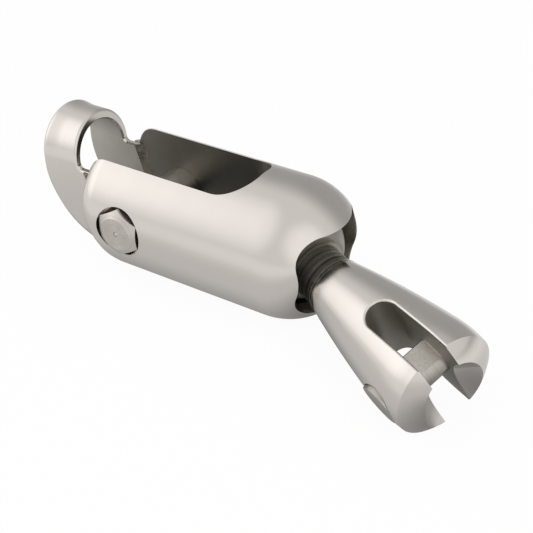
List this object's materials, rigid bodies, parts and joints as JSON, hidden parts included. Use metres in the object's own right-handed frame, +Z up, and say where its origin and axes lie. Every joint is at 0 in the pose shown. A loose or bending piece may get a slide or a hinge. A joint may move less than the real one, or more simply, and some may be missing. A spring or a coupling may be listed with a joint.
{
  "type": "anchor swivel",
  "caption": "Stainless anchor swivel: slotted round body with an arched guide horn and anchor pin, and a ball-jointed, slotted chain jaw that swings and spins in its domed end.",
  "frame": {"origin": "middle of the anchor pin's axis, half way between the two ears", "axes": "+X along the body towards the chain, +Y along the anchor pin away from its head, +Z up through the open side of the channel"},
  "size_m": [0.1684, 0.0692, 0.0528],
  "materials": {
    "polished_stainless": "mirror-polished stainless steel",
    "machined_stainless": "turned stainless steel",
    "pin_stainless": "fine-turned stainless steel, lightly polished",
    "fastener_stainless": "plain stainless fastener",
    "bronze": "plain bearing bronze",
    "acetal": "black acetal"
  },
  "bodies": {
    "swivel": {"swivel_body": "polished_stainless", "guide_horn": "polished_stainless", "horn_welds": "machined_stainless", "anchor_pin_lock_screw": "fastener_stainless"},
    "anchor_bolt": {"anchor_pin": "pin_stainless"},
    "seats": {"upper_ball_seat": "acetal", "lower_ball_seat": "acetal"},
    "ball": {"swivel_ball": "machined_stainless", "stem_bush": "bronze", "neck_washer": "machined_stainless"},
    "jaw": {"chain_jaw": "polished_stainless", "rear_washer": "machined_stainless", "stem_nut": "fastener_stainless", "nut_lock_pin": "fastener_stainless", "chain_pin_lock_screw": "fastener_stainless"},
    "chain_bolt": {"chain_pin": "pin_stainless"}
  },
  "joints": [
    {"name": "jaw_yaw", "type": "hinge", "parent": "swivel", "child": "seats", "pos_m": [0.0527, 0, 0], "axis": [0, 0, 1], "range_deg": [-2.5, 49.5]},
    {"name": "jaw_pitch", "type": "hinge", "parent": "seats", "child": "ball", "pos_m": [0.0527, 0, 0], "axis": [0.3987, 0.9171, 0], "range_deg": [-14, 3]},
    {"name": "jaw_spin", "type": "hinge", "parent": "ball", "child": "jaw", "pos_m": [0.0527, 0, 0], "axis": [0.9128, -0.3969, -0.0958], "continuous": true},
    {"name": "anchor_pin_draw", "type": "slide", "parent": "swivel", "child": "anchor_bolt", "axis": [0, -1, 0], "range_m": [0, 0.04]},
    {"name": "chain_pin_draw", "type": "slide", "parent": "jaw", "child": "chain_bolt", "axis": [-0.3933, -0.7918, -0.4673], "range_m": [0, 0.026]}
  ]
}
